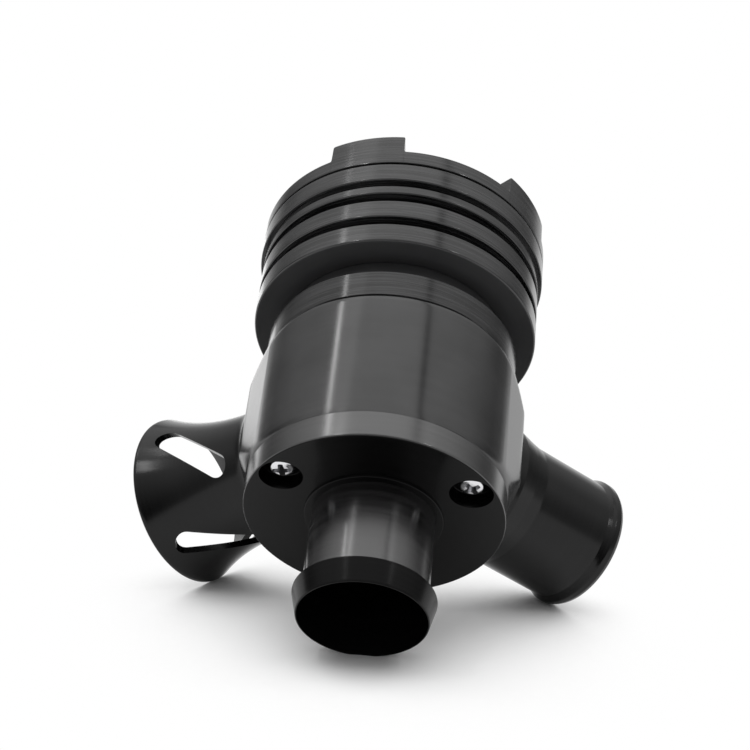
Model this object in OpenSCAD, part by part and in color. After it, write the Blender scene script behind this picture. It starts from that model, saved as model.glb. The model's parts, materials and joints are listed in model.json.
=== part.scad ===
// Dual-port piston blow off valve: turned body, barbed inlet, slotted trumpet,
// straight outlet pipe and a finned head with an adjustable lugged cap.
// Millimetres. The main axis is Z and the inlet mouth is at z = 0.
// The front faces -Y. The trumpet points back-left and the pipe back-right.

/* [Inlet] */
// outside of the hose neck
inlet_neck_d = 25; // [22:0.5:27]
// largest outside size of the hose barb
inlet_barb_d = 28.6; // [24:0.2:36]
// outside of the mouth
inlet_mouth_d = 26.4; // [22:0.2:34]
// wall of the hose neck
inlet_wall = 1.5; // [1.3:0.1:2.5]
// length of the spigot below the flange
spigot_len = 24.4; // [20:0.2:36]
// thickness of the inlet flange
flange_t = 5.9; // [5:0.1:8]

/* [Body] */
// outside of the turned bands and of the inlet flange
body_d = 53; // [50:0.5:60]
// height of the milled middle of the body
mid_h = 30.35; // [30:0.05:40]
// how far the turned barrel stands out beyond the bands
barrel_out = 2.5; // [1.5:0.1:4]
// height of the plain band above the milled middle
upper_h = 6.9; // [4:0.1:10]
// bore that the piston runs in
bore_d = 33; // [31:0.5:34]
// angle from the front to each side port
port_angle = 126; // [120:1:132]
// angle from the front to the middle of each milled flat
flat_angle = 68; // [64:1:70]

/* [Ports] */
// height of the port axes above the body's lower face
port_rise = 15.5; // [15.4:0.1:18]
// distance from the main axis to each port face
port_face = 24.3; // [24:0.1:26]
// outside of the outlet pipe
pipe_d = 27.6; // [24:0.2:28]
// outside of the bead on the outlet pipe
bead_d = 29.2; // [28:0.2:31]
// length of the outlet pipe from the port face
pipe_len = 31; // [24:0.5:45]
// length of the trumpet from the port face
trumpet_len = 27.5; // [25:0.1:36]
// outside of the trumpet at its neck
trumpet_neck_d = 27; // [25:0.2:28]
// outside of the trumpet at its rim
trumpet_rim_d = 36.8; // [32:0.2:46]
// number of slots round the trumpet
slot_count = 4; // [3:1:5]
// width of a slot
slot_w = 4.9; // [3:0.1:5.5]
// length of a slot over its round ends
slot_len = 20.4; // [12:0.2:23]
// slant of the slots against the trumpet axis
slot_slant = 36.5; // [0:0.5:40]

/* [Head] */
// outside of the finned head
head_d = 60.6; // [58:0.2:66]
// wall of the head outside its thread
head_wall = 6.8; // [5:0.1:8]
// outside of the lock ring and the cap
cap_d = 62.2; // [60:0.2:68]
// open gap between the body and the head
head_gap = 4.6; // [3:0.1:6]
// height of the lowest fin of the head
fin_low_h = 4.8; // [3:0.1:7]
// height of the middle fin of the head
fin_mid_h = 4.5; // [3:0.1:7]
// height of the top fin of the head
fin_top_h = 2.7; // [2:0.1:5]
// height of each groove between the fins
groove_h = 2.25; // [1:0.05:3]
// depth of the two grooves in the head
fin_depth = 2.6; // [1:0.1:3]
// height of the lock ring
lock_h = 5.15; // [4:0.05:9]
// open line between the lock ring and the cap
cap_gap = 0.5; // [0.4:0.05:1]
// height of the cap rim below its lugs
cap_h = 3.5; // [3:0.1:6]
// number of lugs on the cap
lug_count = 4; // [2:1:4]
// angle from one lug to the next
lug_pitch = 77.5; // [70:0.5:90]
// height of the lugs
lug_h = 4.4; // [2:0.1:7]
// angle that one lug covers
lug_angle = 30; // [20:1:36]
// radial thickness of a lug
lug_t = 6; // [4:0.5:9]

/* [Piston] */
// length of the piston
piston_len = 29; // [26:0.5:30]
// wire of the spring
wire_d = 2.2; // [1.6:0.1:2.6]
// mean size of the spring coil
coil_d = 21.6; // [20:0.2:22]
// turns of the spring
turns = 8; // [6:1:9]

/* [Clearances] */
// radial gap of a running fit
run_gap = 0.05; // [0.02:0.01:0.1]
// radial gap of a screwed or pressed fit
thread_gap = 0.05; // [0.02:0.01:0.1]
// radial gap of the piston walls to the bore
piston_gap = 0.35; // [0.3:0.05:0.5]

/* [Hidden] */
$fn = 96;
little = 0.01;
body_r = body_d / 2;
bore_r = bore_d / 2;
barrel_r = body_r + barrel_out;

// heights up the main axis
seam_z = spigot_len + flange_t;
mid_top_z = seam_z + mid_h;
body_top_z = mid_top_z + upper_h;
head_z = body_top_z + head_gap;
head_h = fin_low_h + fin_mid_h + fin_top_h + 2 * groove_h;
roof_t = 5.2;
roof_z = head_z + head_h - roof_t;
head_top_z = head_z + head_h;
lock_top_z = head_top_z + lock_h;
cap_z = lock_top_z + cap_gap;
cap_top_z = cap_z + cap_h;
plug_z = roof_z + 1.8;
port_z = seam_z + port_rise;

// inlet adaptor
neck_r = inlet_neck_d / 2;
inlet_bore_r = neck_r - inlet_wall;
register_h = 3;
seat_z = seam_z + register_h;
root_r = neck_r + 1.6;
ring_seal_d = 1.4;
ring_seal_r = bore_r + 1.8;

// flange screws
screw_circle_r = 21.7;
screw_r = 1.5;
screw_head_r = 2.8;
screw_head_h = 2.2;
screw_sink = 1.2;
screw_well_r = 4.4;
screw_len = 8;
screw_head_z = spigot_len + screw_sink + screw_head_h;
screw_top_z = screw_head_z + screw_len;

// milled front of the body
front_back = 1.2;
front_r = body_r + 1;
flat_off = front_r - front_back * cos(flat_angle);

// screwed port sockets
socket_r = 12;
socket_depth = 6.6;
passage_r = 10;
foot_r = 15.2;
foot_h = 2.6;
foot_edge = 0.8;
foot_run = 4.5;
port_seal_d = 1.2;
port_seal_r = 13.9;
port_groove_w = port_seal_d + 0.3;

// trumpet
trumpet_wall = 1.5;
clear_s = 11.4;
rim_t = 0.6;

// head and cap threads
thread_r = head_d / 2 - head_wall;
plug_step = 3.5;
plug_r = thread_r - plug_step;
face_seal_d = 1.6;
face_seal_r = (plug_r + thread_r) / 2 - 0.3;
cap_seal_d = 1.5;
dish = 1.2;

// vacuum nipple and its washer
stud_r = 4.85;
stud_len = 8;
vacuum_r = 2;
washer_t = 1;
washer_r = 6.8;
nipple_hex = 11;
nipple_hex_r = 6.3;
nipple_hex_h = 5;
nipple_stem_r = 2.5;
nipple_barb_r = 3.1;
nipple_barb_rise = 9;
nipple_tip_r = 2.2;
nipple_len = 14;
nipple_bore_r = 1.4;

// piston
wall_r = bore_r - piston_gap;
piston_z = seat_z + 0.5;
floor_t = 4;
piston_top_z = piston_z + piston_len;
cup_r = wall_r - 2.7;
nose_r = inlet_bore_r + 0.5;
nose_w = 2.6;
nose_groove = 1.6;
band_rise = 3.2;
band_z = piston_z + band_rise;
band_h = 4;
band_t = 1.4;
piston_seal_d = 2;
piston_seal_drop = 3.4;
piston_seal_z = piston_top_z - piston_seal_drop;
seal_floor_r = bore_r - run_gap - piston_seal_d;
seat_washer_t = 1.5;
seat_hub_h = 3;
seat_hole_r = 4;
seat_clear = 0.6;
spring_z = piston_z + floor_t;
spring_h = plug_z - seat_washer_t - spring_z;

black = [0.07, 0.07, 0.075];
rubber = [0.03, 0.03, 0.03];

// puts its children on a side port, local Z pointing out of the port
module at_port(angle)
{
    translate([0, 0, port_z])
        rotate([0, 0, angle - 90])
            rotate([0, 90, 0])
                children();
}

// round ring of round section lying in the XY plane
module round_ring(ring_r, wire)
{
    rotate_extrude()
        translate([ring_r, 0])
            circle(d = wire, $fn = 32);
}

// plain tube standing on the XY plane
module tube(outer, inner, height)
{
    difference() {
        cylinder(r = outer, h = height);
        translate([0, 0, -1])
            cylinder(r = inner, h = height + 2);
    }
}

// the three screw positions
module at_screws()
{
    for (turn = [0 : 2])
        rotate([0, 0, -30 + 120 * turn])
            translate([screw_circle_r, 0, 0])
                children();
}

// half space on the far side of a milled face
module milled_off(angle, distance, low, high)
{
    rotate([0, 0, angle - 90])
        translate([distance, -60, low])
            cube([60, 120, high - low]);
}

module body()
{
    // where the turned barrel reaches its full size, low and high
    low_z = seam_z + 6.5;
    high_z = mid_top_z - 5.9;
    edge = 0.6;
    color(black)
    difference() {
        union() {
            // turned barrel with its milled front and flats
            intersection() {
                rotate_extrude()
                    polygon([[0, seam_z], [body_r, seam_z], [barrel_r, low_z], [barrel_r, high_z],
                             [body_r, mid_top_z], [0, mid_top_z]]);
                union() {
                    translate([0, front_back, seam_z - 1])
                        cylinder(r = front_r, h = mid_h + 2);
                    difference() {
                        translate([-60, -9, seam_z - 1])
                            cube([120, 69, mid_h + 2]);
                        milled_off(flat_angle, flat_off, seam_z - 2, mid_top_z + 2);
                        milled_off(-flat_angle, flat_off, seam_z - 2, mid_top_z + 2);
                    }
                }
            }
            // plain band and the threaded neck above it
            rotate_extrude()
                polygon([[0, mid_top_z - 1], [body_r - 1, mid_top_z - 1], [body_r - 1, mid_top_z],
                         [body_r, mid_top_z], [body_r, body_top_z - edge], [body_r - edge, body_top_z],
                         [thread_r, body_top_z], [thread_r, roof_z - 0.8], [thread_r - 0.8, roof_z],
                         [0, roof_z]]);
        }
        // bore for the piston with a lead at the top
        translate([0, 0, seam_z - 1])
            cylinder(r = bore_r, h = roof_z - seam_z + 2);
        translate([0, 0, roof_z - 1])
            cylinder(r1 = bore_r, r2 = bore_r + 1.2, h = 1.2);
        // groove for the head seal
        translate([0, 0, roof_z - face_seal_d])
            tube(face_seal_r + face_seal_d / 2 + 0.2, face_seal_r - face_seal_d / 2 - 0.2, face_seal_d + 1);
        // flat port faces, screwed sockets, passages and seal grooves
        for (side = [-1, 1]) {
            milled_off(side * port_angle, port_face, seam_z - 1, body_top_z);
            at_port(side * port_angle) {
                cylinder(r = passage_r, h = port_face);
                translate([0, 0, port_face - socket_depth - 0.4])
                    cylinder(r = socket_r, h = socket_depth + 1);
                translate([0, 0, port_face - port_seal_d])
                    tube(port_seal_r + port_groove_w / 2, port_seal_r - port_groove_w / 2, port_seal_d + 1);
            }
        }
        // tapped holes for the flange screws
        at_screws()
            translate([0, 0, seam_z - 1])
                cylinder(r = screw_r + thread_gap, h = screw_top_z - seam_z + 2, $fn = 32);
    }
}

module inlet_adaptor()
{
    barb_z = 5.9;
    step_z = 7.9;
    edge = 0.5;
    color(black)
    difference() {
        rotate_extrude()
            polygon([[inlet_bore_r, 0], [inlet_mouth_d / 2 - 0.5, 0], [inlet_mouth_d / 2, 0.6],
                     [inlet_barb_d / 2, barb_z - 0.9], [inlet_barb_d / 2, barb_z + 1.1],
                     [neck_r, step_z], [neck_r, spigot_len - 0.8], [root_r - 0.3, spigot_len - 0.8],
                     [root_r, spigot_len - 0.5], [root_r, spigot_len],
                     [body_r - edge, spigot_len], [body_r, spigot_len + edge],
                     [body_r, seam_z - 0.35], [body_r - 0.35, seam_z],
                     [bore_r - 0.1, seam_z], [bore_r - 0.1, seat_z - 0.6], [bore_r - 0.7, seat_z],
                     [inlet_bore_r + 0.4, seat_z], [inlet_bore_r, seat_z - 0.6]]);
        translate([0, 0, seam_z - ring_seal_d])
            tube(ring_seal_r + ring_seal_d / 2 + 0.1, ring_seal_r - ring_seal_d / 2 - 0.1, ring_seal_d + 1);
        at_screws() {
            translate([0, 0, spigot_len - 1])
                cylinder(r = screw_r + 0.2, h = flange_t + 2, $fn = 32);
            translate([0, 0, spigot_len - 1])
                cylinder(r = screw_well_r, h = screw_head_z - spigot_len + 1, $fn = 64);
        }
    }
}

module inlet_seal()
{
    color(rubber)
    translate([0, 0, seam_z - ring_seal_d / 2])
        round_ring(ring_seal_r, ring_seal_d);
}

// pan head with a cross recess, head down
module flange_screw()
{
    difference() {
        union() {
            translate([0, 0, screw_head_z])
                cylinder(r = screw_r, h = screw_len, $fn = 32);
            translate([0, 0, screw_head_z - screw_head_h])
                rotate_extrude($fn = 48)
                    polygon([[0, 0], [screw_head_r * 0.55, 0.12], [screw_head_r * 0.85, 0.6],
                             [screw_head_r, 1.3], [screw_head_r, screw_head_h], [0, screw_head_h]]);
        }
        for (turn = [20, 110])
            rotate([0, 0, turn])
                translate([-screw_head_r * 0.62, -0.45, screw_head_z - screw_head_h - 1])
                    cube([screw_head_r * 1.24, 0.9, 2.3]);
        translate([0, 0, screw_head_z - screw_head_h - 0.1])
            cylinder(r1 = 0.95, r2 = 0.3, h = 1.7, $fn = 24);
    }
}

module flange_screws()
{
    color([0.75, 0.75, 0.77])
    at_screws()
        flange_screw();
}

module piston()
{
    color([0.62, 0.63, 0.65])
    difference() {
        rotate_extrude()
            polygon([[0, piston_z], [wall_r - 0.8, piston_z], [wall_r, piston_z + 0.8],
                     [wall_r, band_z], [wall_r - band_t, band_z],
                     [wall_r - band_t, band_z + band_h], [wall_r, band_z + band_h],
                     [wall_r, piston_seal_z - 1.2], [seal_floor_r, piston_seal_z - 1.2],
                     [seal_floor_r, piston_seal_z + 1.2], [wall_r, piston_seal_z + 1.2],
                     [wall_r, piston_top_z - 0.5], [wall_r - 0.5, piston_top_z],
                     [cup_r + 0.5, piston_top_z], [cup_r, piston_top_z - 0.5], [cup_r, spring_z],
                     [coil_d / 2 - wire_d / 2 - 0.5, spring_z],
                     [coil_d / 2 - wire_d / 2 - 1.1, spring_z + 2.5], [0, spring_z + 2.5]]);
        translate([0, 0, piston_z - 1])
            tube(nose_r + nose_w, nose_r, nose_groove + 1);
    }
}

module piston_seal()
{
    color(rubber)
    translate([0, 0, piston_seal_z])
        round_ring(bore_r - run_gap - piston_seal_d / 2, piston_seal_d);
}

// guide band that carries the piston in the bore
module guide_band()
{
    color([0.55, 0.42, 0.25])
    translate([0, 0, band_z])
        tube(bore_r - run_gap, wall_r - band_t, band_h);
}

module nose_seal()
{
    color(rubber)
    translate([0, 0, seat_z])
        tube(nose_r + nose_w, nose_r, piston_z - seat_z + nose_groove);
}

// level slice through a coil of round wire, half the wire thick at its middle
function wire_half(turn, pitch) = sqrt(max(0, pow(wire_d / 2, 2) - pow(pitch * turn / 360, 2)));

module spring()
{
    pitch = spring_h / turns;
    reach = wire_d / 2 / pitch * 360;
    steps = 6;
    coil_r = coil_d / 2;
    outer = [for (i = [-steps : steps]) let (t = reach * sin(90 * i / steps))
             (coil_r + wire_half(t, pitch)) * [cos(t), sin(t)]];
    inner = [for (i = [steps - 1 : -1 : 1 - steps]) let (t = reach * sin(90 * i / steps))
             (coil_r - wire_half(t, pitch)) * [cos(t), sin(t)]];
    color([0.6, 0.6, 0.62])
    translate([0, 0, spring_z])
        linear_extrude(height = spring_h, twist = -360 * turns, slices = 16 * turns, $fn = 24)
            polygon(concat(outer, inner));
}

module spring_seat()
{
    hub_r = coil_d / 2 - wire_d / 2 - seat_clear;
    color([0.62, 0.63, 0.65])
    translate([0, 0, plug_z - seat_washer_t])
        difference() {
            union() {
                cylinder(r = coil_d / 2 + wire_d / 2 + seat_clear, h = seat_washer_t);
                translate([0, 0, -seat_hub_h])
                    cylinder(r1 = hub_r - seat_clear, r2 = hub_r, h = seat_hub_h + little);
            }
            translate([0, 0, -seat_hub_h - 1])
                cylinder(r = seat_hole_r, h = seat_washer_t + seat_hub_h + 2);
        }
}

// one square groove with chamfered lips, cut from the outside of the head
module fin_groove(low, high, outer)
{
    lip = 0.35;
    rotate_extrude()
        polygon([[outer - fin_depth, low], [outer - lip, low], [outer + 1, low - lip - 1],
                 [outer + 1, high + lip + 1], [outer - lip, high], [outer - fin_depth, high]]);
}

module head()
{
    outer = head_d / 2;
    edge = 0.4;
    top_edge = 0.75;
    low_groove = head_z + fin_low_h;
    high_groove = low_groove + groove_h + fin_mid_h;
    color(black)
    difference() {
        rotate_extrude()
            polygon([[thread_r + thread_gap, head_z], [outer - edge, head_z], [outer, head_z + edge],
                     [outer, head_top_z - top_edge], [outer - top_edge, head_top_z],
                     [plug_r + thread_gap, head_top_z], [plug_r + thread_gap, roof_z],
                     [thread_r + thread_gap, roof_z]]);
        fin_groove(low_groove, low_groove + groove_h, outer);
        fin_groove(high_groove, high_groove + groove_h, outer);
    }
}

module head_seal()
{
    color(rubber)
    translate([0, 0, roof_z - face_seal_d / 2])
        round_ring(face_seal_r, face_seal_d);
}

module lock_ring()
{
    outer = cap_d / 2;
    edge = 0.3;
    // recessed shoulder that shows as a dark line over the head
    line_h = 0.5;
    line_depth = 1.2;
    color(black)
    rotate_extrude()
        polygon([[plug_r + thread_gap, head_top_z], [outer - line_depth, head_top_z],
                 [outer - line_depth, head_top_z + line_h], [outer - edge, head_top_z + line_h],
                 [outer, head_top_z + line_h + edge],
                 [outer, lock_top_z - edge], [outer - edge, lock_top_z],
                 [plug_r + thread_gap, lock_top_z]]);
}

module cap()
{
    outer = cap_d / 2;
    edge = 0.3;
    first_lug = -18;
    last_gap = 360 - lug_pitch * (lug_count - 1) - lug_angle;
    lug_top_z = cap_top_z + lug_h;
    color(black)
    difference() {
        rotate_extrude()
            polygon([[0, plug_z], [plug_r - 0.6, plug_z], [plug_r, plug_z + 0.6],
                     [plug_r, plug_z + 1.4], [plug_r - cap_seal_d, plug_z + 1.4],
                     [plug_r - cap_seal_d, plug_z + 1.4 + cap_seal_d + 0.2],
                     [plug_r, plug_z + 1.4 + cap_seal_d + 0.2], [plug_r, cap_z],
                     [outer - edge, cap_z], [outer, cap_z + edge],
                     [outer, lug_top_z - edge], [outer - edge, lug_top_z],
                     [outer - lug_t + edge, lug_top_z], [outer - lug_t, lug_top_z - edge],
                     [outer - lug_t, cap_top_z], [outer - lug_t - 1, cap_top_z - dish],
                     [0, cap_top_z - dish]]);
        // the lugs stay where the rim is not cut away
        for (i = [0 : lug_count - 1])
            rotate([0, 0, -90 + first_lug + i * lug_pitch + lug_angle / 2])
                rotate_extrude(angle = i < lug_count - 1 ? lug_pitch - lug_angle : last_gap)
                    polygon([[outer - lug_t - 0.6, cap_top_z], [outer + 2, cap_top_z],
                             [outer + 2, lug_top_z + 1], [outer - lug_t - 0.6, lug_top_z + 1]]);
        // vacuum passage and the screwed hole for the nipple
        translate([0, 0, plug_z - 1])
            cylinder(r = vacuum_r, h = cap_top_z - plug_z + 2, $fn = 48);
        translate([0, 0, cap_top_z - dish - stud_len - 1])
            cylinder(r = stud_r + thread_gap, h = stud_len + 3, $fn = 64);
    }
}

module cap_seal()
{
    color(rubber)
    translate([0, 0, plug_z + 1.4 + cap_seal_d / 2 + 0.1])
        round_ring(plug_r + thread_gap - run_gap / 2 - cap_seal_d / 2, cap_seal_d);
}

// straight barbed nipple for the vacuum hose
module vacuum_nipple()
{
    foot_z = cap_top_z - dish + washer_t;
    stem_z = foot_z + nipple_hex_h;
    barb_z = stem_z + nipple_barb_rise;
    tip_z = stem_z + nipple_len;
    color(black)
    difference() {
        union() {
            intersection() {
                translate([0, 0, foot_z])
                    cylinder(d = nipple_hex / cos(30), h = nipple_hex_h, $fn = 6);
                rotate_extrude()
                    polygon([[0, foot_z], [nipple_hex_r - 0.4, foot_z], [nipple_hex_r, foot_z + 0.4],
                             [nipple_hex_r, stem_z - 0.5], [nipple_hex_r - 0.9, stem_z], [0, stem_z]]);
            }
            translate([0, 0, foot_z - stud_len - washer_t])
                cylinder(r = stud_r, h = stud_len + washer_t + little, $fn = 64);
            rotate_extrude()
                polygon([[0, stem_z - 1], [nipple_stem_r, stem_z - 1], [nipple_stem_r, barb_z],
                         [nipple_barb_r, barb_z + 0.4], [nipple_barb_r, barb_z + 1],
                         [nipple_tip_r, tip_z], [0, tip_z]]);
        }
        translate([0, 0, foot_z - stud_len - 2])
            cylinder(r = nipple_bore_r, h = tip_z - foot_z + stud_len + 4, $fn = 48);
    }
}

module nipple_washer()
{
    color([0.7, 0.45, 0.25])
    translate([0, 0, cap_top_z - dish])
        tube(washer_r, stud_r + thread_gap, washer_t);
}

// screwed plug and foot that both port pieces share
module port_plug(thick)
{
    difference() {
        union() {
            translate([0, 0, port_face - socket_depth])
                cylinder(r = socket_r - thread_gap, h = socket_depth + thick / 2);
            translate([0, 0, port_face])
                cylinder(r = foot_r, h = thick);
        }
        translate([0, 0, port_face - socket_depth - 1])
            cylinder(r = passage_r, h = socket_depth + thick + 2);
    }
}

module port_seal(angle)
{
    color(rubber)
    at_port(angle)
        translate([0, 0, port_face - port_seal_d / 2])
            round_ring(port_seal_r, port_seal_d);
}

// outside of the trumpet along its length: foot, neck, then the flare
function bell(s) = trumpet_neck_d / 2
    + (foot_r - trumpet_neck_d / 2) * pow(max(0, (foot_run - s) / (foot_run - foot_edge)), 2.2)
    + (trumpet_rim_d - trumpet_neck_d) / 2 * pow(max(0, (s - foot_h) / (trumpet_len - rim_t - foot_h)), 2.5);
// inside of the trumpet, a wall inside the bell once clear of the plug
function bell_in(s) = s < clear_s
    ? passage_r + (trumpet_neck_d / 2 - trumpet_wall - passage_r) * s / clear_s
    : bell(s) - trumpet_wall;

// straight slot with round ends
module round_slot(long, wide)
{
    reach = (long - wide) / 2;
    for (end = [-reach, reach])
        translate([end, 0])
            circle(d = wide, $fn = 48);
    square([2 * reach, wide], center = true);
}

module trumpet()
{
    steps = 18;
    rim_s = trumpet_len - rim_t;
    span = rim_s - foot_edge;
    outer = [for (i = [0 : steps]) let (s = foot_edge + span * i / steps) [bell(s), port_face + s]];
    inner = [for (i = [steps : -1 : 0]) let (s = foot_edge + span * i / steps) [bell_in(s), port_face + s]];
    slot_mid = 15.3;
    slot_first = 87;
    color(black)
    at_port(-port_angle)
    difference() {
        union() {
            port_plug(foot_edge);
            rotate_extrude()
                polygon(concat([[passage_r, port_face + foot_edge / 2],
                                [foot_r, port_face + foot_edge / 2]], outer,
                               [[trumpet_rim_d / 2, port_face + rim_s + 0.3],
                                [trumpet_rim_d / 2 - 0.35, port_face + trumpet_len],
                                [trumpet_rim_d / 2 - 1.1, port_face + trumpet_len]], inner));
        }
        for (i = [0 : slot_count - 1])
            rotate([0, 0, slot_first + i * 360 / slot_count])
                translate([8, 0, port_face + slot_mid])
                    rotate([0, 90, 0])
                        linear_extrude(height = 20)
                            rotate([0, 0, -slot_slant])
                                round_slot(slot_len, slot_w);
    }
}

module trumpet_seal()
{
    port_seal(-port_angle);
}

module outlet_pipe()
{
    pipe_r = pipe_d / 2;
    bead_r = bead_d / 2;
    end_s = port_face + pipe_len;
    bead_s = end_s - 4.2;
    color(black)
    at_port(port_angle)
    union() {
        port_plug(foot_h);
        rotate_extrude()
            polygon([[passage_r, port_face + foot_h - 1], [foot_r, port_face + foot_h - 1],
                     [foot_r, port_face + foot_h], [pipe_r + 0.9, port_face + 6],
                     [pipe_r, port_face + 7.8], [pipe_r, bead_s], [bead_r - 0.4, bead_s + 0.9],
                     [bead_r, bead_s + 1.6], [bead_r, end_s - 1.4], [bead_r - 0.5, end_s - 0.5],
                     [bead_r - 1.4, end_s], [pipe_r - 2, end_s], [pipe_r - 2.4, end_s - 0.5],
                     [pipe_r - 2.4, port_face + foot_h + 4], [passage_r, port_face + foot_h + 2]]);
    }
}

module pipe_seal()
{
    port_seal(port_angle);
}

body();
inlet_adaptor();
inlet_seal();
flange_screws();
piston();
piston_seal();
guide_band();
nose_seal();
spring();
spring_seat();
head();
head_seal();
lock_ring();
cap();
cap_seal();
vacuum_nipple();
nipple_washer();
trumpet();
trumpet_seal();
outlet_pipe();
pipe_seal();
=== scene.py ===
import json
import math

import bmesh
import bpy
from mathutils import Matrix, Vector


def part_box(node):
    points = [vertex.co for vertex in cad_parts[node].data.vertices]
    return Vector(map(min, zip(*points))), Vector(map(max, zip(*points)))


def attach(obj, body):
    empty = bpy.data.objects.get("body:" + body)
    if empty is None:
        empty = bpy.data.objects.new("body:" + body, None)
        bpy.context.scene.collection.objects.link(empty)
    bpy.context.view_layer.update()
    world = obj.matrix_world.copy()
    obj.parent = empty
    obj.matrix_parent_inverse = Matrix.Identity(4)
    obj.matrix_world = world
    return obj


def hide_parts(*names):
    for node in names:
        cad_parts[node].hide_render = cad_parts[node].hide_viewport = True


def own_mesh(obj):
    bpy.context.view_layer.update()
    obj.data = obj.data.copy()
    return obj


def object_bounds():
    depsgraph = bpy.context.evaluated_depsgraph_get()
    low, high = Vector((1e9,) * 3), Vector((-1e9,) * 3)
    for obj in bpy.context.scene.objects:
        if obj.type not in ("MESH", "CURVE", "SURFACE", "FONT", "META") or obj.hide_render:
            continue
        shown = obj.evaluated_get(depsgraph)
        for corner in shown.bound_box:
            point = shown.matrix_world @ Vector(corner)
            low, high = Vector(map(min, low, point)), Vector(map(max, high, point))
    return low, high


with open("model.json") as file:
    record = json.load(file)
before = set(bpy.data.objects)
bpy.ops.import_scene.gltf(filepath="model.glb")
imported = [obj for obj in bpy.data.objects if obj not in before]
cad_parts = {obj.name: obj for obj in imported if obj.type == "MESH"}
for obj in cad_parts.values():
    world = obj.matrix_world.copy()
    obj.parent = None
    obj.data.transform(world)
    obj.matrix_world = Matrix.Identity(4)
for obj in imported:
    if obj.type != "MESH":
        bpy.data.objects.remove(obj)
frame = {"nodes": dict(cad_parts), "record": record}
nodes = frame["nodes"]
cadLow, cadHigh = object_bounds()
scene = bpy.context.scene
mm = 0.001
print("frame loaded with", len(nodes), "pieces")


class Signal:
    # a socket that takes part in plain sums
    def __init__(self, sheet, socket):
        self.sheet = sheet
        self.socket = socket

    def of(self, name):
        return Signal(self.sheet, self.socket.node.outputs[name])

    def maths(self, operation, first, second):
        return self.sheet.add("ShaderNodeMath", {"operation": operation}, {0: first, 1: second})

    def __add__(self, other):
        return self.maths("ADD", self, other)

    def __radd__(self, other):
        return self.maths("ADD", other, self)

    def __sub__(self, other):
        return self.maths("SUBTRACT", self, other)

    def __rsub__(self, other):
        return self.maths("SUBTRACT", other, self)

    def __mul__(self, other):
        return self.maths("MULTIPLY", self, other)

    def __rmul__(self, other):
        return self.maths("MULTIPLY", other, self)

    def __truediv__(self, other):
        return self.maths("DIVIDE", self, other)

    def __rtruediv__(self, other):
        return self.maths("DIVIDE", other, self)

    def __pow__(self, other):
        return self.maths("POWER", self, other)


class Sheet:
    # the node sheet of one finish, or of the world
    def __init__(self, tree):
        self.tree = tree
        tree.nodes.clear()

    def add(self, kind, settings=None, sockets=None, out=0):
        node = self.tree.nodes.new(kind)
        for key, value in (settings or {}).items():
            if key == "stops":
                ramp = node.color_ramp
                ramp.elements.remove(ramp.elements[1])
                for i, (place, grey) in enumerate(value):
                    stop = ramp.elements.new(place) if i else ramp.elements[0]
                    stop.position = place
                    stop.color = (grey, grey, grey, 1)
            else:
                setattr(node, key, value)
        for key, value in (sockets or {}).items():
            if isinstance(value, Signal):
                self.tree.links.new(value.socket, node.inputs[key])
            else:
                node.inputs[key].default_value = value
        return Signal(self, node.outputs[out]) if node.outputs else None


# puts a new object into the scene
def add(name, data):
    thing = bpy.data.objects.new(name, data)
    scene.collection.objects.link(thing)
    return thing


def newFinish(name):
    material = bpy.data.materials.new(name)
    material.use_nodes = True
    return material, Sheet(material.node_tree)


def noise(sheet, place, scale, detail, rough=0.5):
    return sheet.add("ShaderNodeTexNoise", {"noise_dimensions": "3D"},
                     {"Vector": place, "Scale": scale, "Detail": detail, "Roughness": rough})


def lineNoise(sheet, along, perMetre):
    return sheet.add("ShaderNodeTexNoise", {"noise_dimensions": "1D"},
                     {"W": along * perMetre, "Scale": 1.0, "Detail": 2.0, "Roughness": 0.6})


def between(sheet, mask, low, high):
    return sheet.add("ShaderNodeMapRange", {"interpolation_type": "LINEAR"},
                     {"Value": mask, "From Min": low[0], "From Max": high[0],
                      "To Min": low[1], "To Max": high[1]})


def tinted(sheet, mask, dark, light):
    return sheet.add("ShaderNodeMix", {"data_type": "RGBA"},
                     {"Factor": mask, 6: (*dark, 1), 7: (*light, 1)}, out=2)


# roughness that follows a noise, which lies mostly between 0.3 and 0.7
def roughness(sheet, mask, gloss, dull):
    return between(sheet, mask, (0.3, gloss), (0.7, dull))


def bumped(sheet, height, strength):
    return sheet.add("ShaderNodeBump", None, {"Height": height, "Strength": strength, "Distance": 1.0})


def surface(sheet, settings):
    shader = sheet.add("ShaderNodeBsdfPrincipled", None, settings)
    sheet.add("ShaderNodeOutputMaterial", None, {"Surface": shader})


# place on a piece, its X and its distance from the local Z axis
def turnedPlace(sheet):
    place = sheet.add("ShaderNodeTexCoord", out="Object")
    x = sheet.add("ShaderNodeSeparateXYZ", None, {0: place})
    y = x.of("Y")
    return place, x, (x * x + y * y) ** 0.5


# black anodised aluminium, turned: fine broken lines round the local Z axis
anodised = {"linesPerMetre": 2600.0, "linesRound": 45.0, "faceShare": 0.8, "grainPerMetre": 9000.0,
            "cloudPerMetre": 70.0, "ringDepth": 0.0000016, "grainDepth": 0.000001, "sideways": 0.6,
            "sidewaysTurn": 0.25}


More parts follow.
